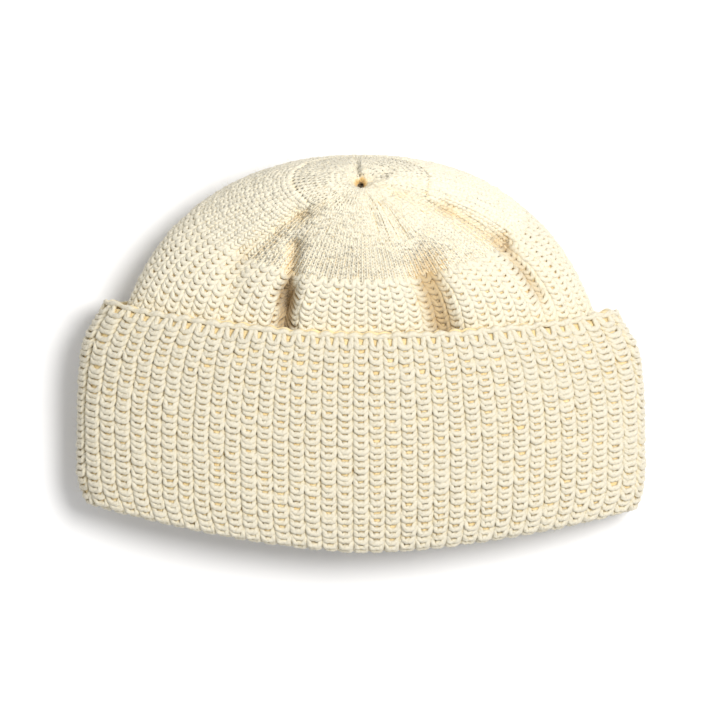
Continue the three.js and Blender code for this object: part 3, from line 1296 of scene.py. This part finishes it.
    def build(self, wool: bpy.types.Material, ground: bpy.types.Material) -> None:
        """Knits the dome and dresses it.

        Args:
            wool: finish of the strands.
            ground: finish of the wall behind them.
        """
        rng = np.random.default_rng(self.seed)
        fine = Yarn(self.fine_stitch.sides, crest=0.0, reach=1.3)
        strands, outside = self.zone(rng, self.fine_stitch, 0, self.fine_until, self.fine_wales)
        fine.lay(strands, shown=outside < self.seam_overlap)
        piece = fine.mesh("crown_courses")
        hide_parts("crown")
        dress(piece, wool)
        ribbed = Yarn(self.rib_stitch.sides, crest=0.4, reach=1.6)
        strands, outside = self.zone(rng, self.rib_stitch, 0, self.ribbed_until, RIBS)
        ribbed.lay(strands, shown=outside > 0)
        dress(ribbed.mesh("ribbed_crown_courses"), wool)
        plain = Yarn(self.plain_stitch.sides, crest=0.0, reach=1.5)
        strands, outside = self.zone(rng, self.plain_stitch, self.ribbed_until, self.courses, RIBS)
        late = np.arange(self.ribbed_until, self.courses)[:, None] >= self.fine_until
        plain.lay(strands, shown=late | (outside > 0))
        dress(plain.mesh("gathered_courses"), wool)
        dress(self.ground(), ground)

    def ground(self) -> bpy.types.Object:
        """The closed wall behind the courses, sunk below the gather."""
        dome = np.linspace(CROWN_START + GAP / 2, self.sink_from - 2, 40)
        alongs = np.concatenate([dome, np.linspace(self.sink_from, POLE, 9)])
        sunk = self.sink * smoothstep(alongs, self.sink_from, self.sink_until)
        rows = [GroundRow(along, -self.ground_depth - deep, 0) for along, deep in zip(alongs, sunk)]
        inner = -CROWN_WALL - 0.5
        rows += [GroundRow(along, inner - deep, 0) for along, deep in zip(alongs[::-1], sunk[::-1])]
        return ground_shell("crown_ground", rows, self.form.wall, 3 * RIBS)


@dataclass
class FibreHalo:
    """Loose hairs that stand off the yarn."""

    form: CapForm
    cuff: TurnedCuff
    hairs: int = 3500
    on_cuff: float = 0.55
    thickness: float = 0.035
    lengths: tuple[float, float] = (1.5, 5.0)
    cuff_runs: tuple[float, float] = (-5.0, 90.0)
    crown_alongs: tuple[float, float] = (94.0, 186.0)
    lift: float = 0.4
    curl: float = 0.35
    taper: float = 0.7
    seed: int = 53

    def build(self, wool: bpy.types.Material) -> None:
        """Grows the hairs and dresses them.

        Args:
            wool: their finish.
        """
        rng = np.random.default_rng(self.seed)
        share = rng.uniform(0, 1, (self.hairs, 1))
        chosen = (rng.uniform(0, 1, (self.hairs, 1)) < self.on_cuff)[..., None]
        run = rng.uniform(*self.cuff_runs, (self.hairs, 1))
        along = rng.uniform(*self.crown_alongs, (self.hairs, 1))
        lift = np.full((self.hairs, 1), self.lift)
        cuff_points, cuff_out = self.cuff.on_path(share, run, lift)
        body_points, body_out = self.form.on_face(share, along, lift)
        root = np.where(chosen, cuff_points, body_points)[:, 0]
        out = np.where(chosen, cuff_out, body_out)[:, 0]
        way = unit(0.55 * out + 0.9 * unit(rng.normal(0, 1, (self.hairs, 3))))
        curl = unit(rng.normal(0, 1, (self.hairs, 3)))
        length = rng.uniform(*self.lengths, (self.hairs, 1))
        steps = np.linspace(0, 1, 3)
        bends = [root + length * (way * t + curl * self.curl * t * t) for t in steps]
        middles = np.stack(bends, axis=1)
        outs = np.broadcast_to(unit(np.cross(way, curl))[:, None], middles.shape)
        radii = self.thickness * np.broadcast_to(1 - self.taper * steps, middles.shape[:2])
        flat = np.zeros_like(radii)
        yarn = Yarn(4, crest=1.0, reach=3.0)
        yarn.lay(Strands(middles, outs, radii, flat + 1, flat), closed=False)
        dress(yarn.mesh("loose_fibres"), wool)


@dataclass
class Studio:
    """A white table, soft light from the upper right and a camera straight overhead."""

    pixels: int = 720
    millimetres_per_pixel: float = 0.43
    centre_pixel: tuple[float, float] = (361.0, 354.0)
    camera_height: float = 2200.0
    focus_height: float = 30.0
    sensor: float = 36.0
    key_place: tuple[float, float, float] = (0.40, 0.2, 1.12)
    key_size: float = 0.5
    key_power: float = 13.6
    fill: float = 0.58

    def build(self) -> None:
        """Makes the table, the lights and the camera."""
        self.table()
        self.lights()
        self.camera()
        bpy.context.scene.view_settings.view_transform = "Standard"

    def table(self) -> None:
        """A wide plain white table."""
        made = bmesh.new()
        bmesh.ops.create_grid(made, x_segments=1, y_segments=1, size=4)
        mesh = bpy.data.meshes.new("table")
        made.to_mesh(mesh)
        made.free()
        table = linked("table", mesh)
        graph = Graph("white_table")
        graph.drive("Base Color", (0.9, 0.9, 0.91, 1))
        graph.drive("Roughness", 0.8)
        graph.drive("Specular IOR Level", 0.2)
        mesh.materials.append(graph.material)

    def lights(self) -> None:
        """One soft light from the upper right, and a white surround."""
        world = bpy.data.worlds.new("surround")
        world.use_nodes = True
        world.node_tree.nodes["Background"].inputs["Color"].default_value = (1, 1, 1, 1)
        world.node_tree.nodes["Background"].inputs["Strength"].default_value = self.fill
        bpy.context.scene.world = world
        key = bpy.data.lights.new("key", "AREA")
        key.shape = "DISK"
        key.size = self.key_size
        key.energy = self.key_power
        key.color = (1.0, 0.985, 0.96)
        lamp = bpy.data.objects.new("key", key)
        bpy.context.scene.collection.objects.link(lamp)
        lamp.location = self.key_place
        lamp.rotation_euler = (-lamp.location).to_track_quat("-Z", "Y").to_euler()

    def camera(self) -> None:
        """A long lens that sees the photograph's frame."""
        made = bpy.data.cameras.new("overhead")
        made.sensor_width = self.sensor
        distance = self.camera_height - self.focus_height
        made.lens = self.sensor * distance / (self.pixels * self.millimetres_per_pixel)
        made.clip_end = 20
        camera = bpy.data.objects.new("overhead", made)
        bpy.context.scene.collection.objects.link(camera)
        x = (self.pixels / 2 - self.centre_pixel[0]) * self.millimetres_per_pixel
        y = (self.centre_pixel[1] - self.pixels / 2) * self.millimetres_per_pixel
        camera.location = (x * MM, y * MM, self.camera_height * MM)
        bpy.context.scene.camera = camera


def main() -> None:
    """Builds the cap and its studio."""
    logging.basicConfig(level=logging.INFO, format="%(message)s")
    form = CapForm()
    wool, ground = CUFF_WOOL.material(), GROUND.material()
    cuff = TurnedCuff(form)
    cuff.build(wool, ground)
    RibbedBody(form).build(BODY_WOOL.material(), ground)
    GatheredCrown(form).build(CROWN_WOOL.material(), CROWN_GROUND.material())
    FibreHalo(form, cuff).build(wool)
    Studio().build()


if __name__ == "__main__":
    main()
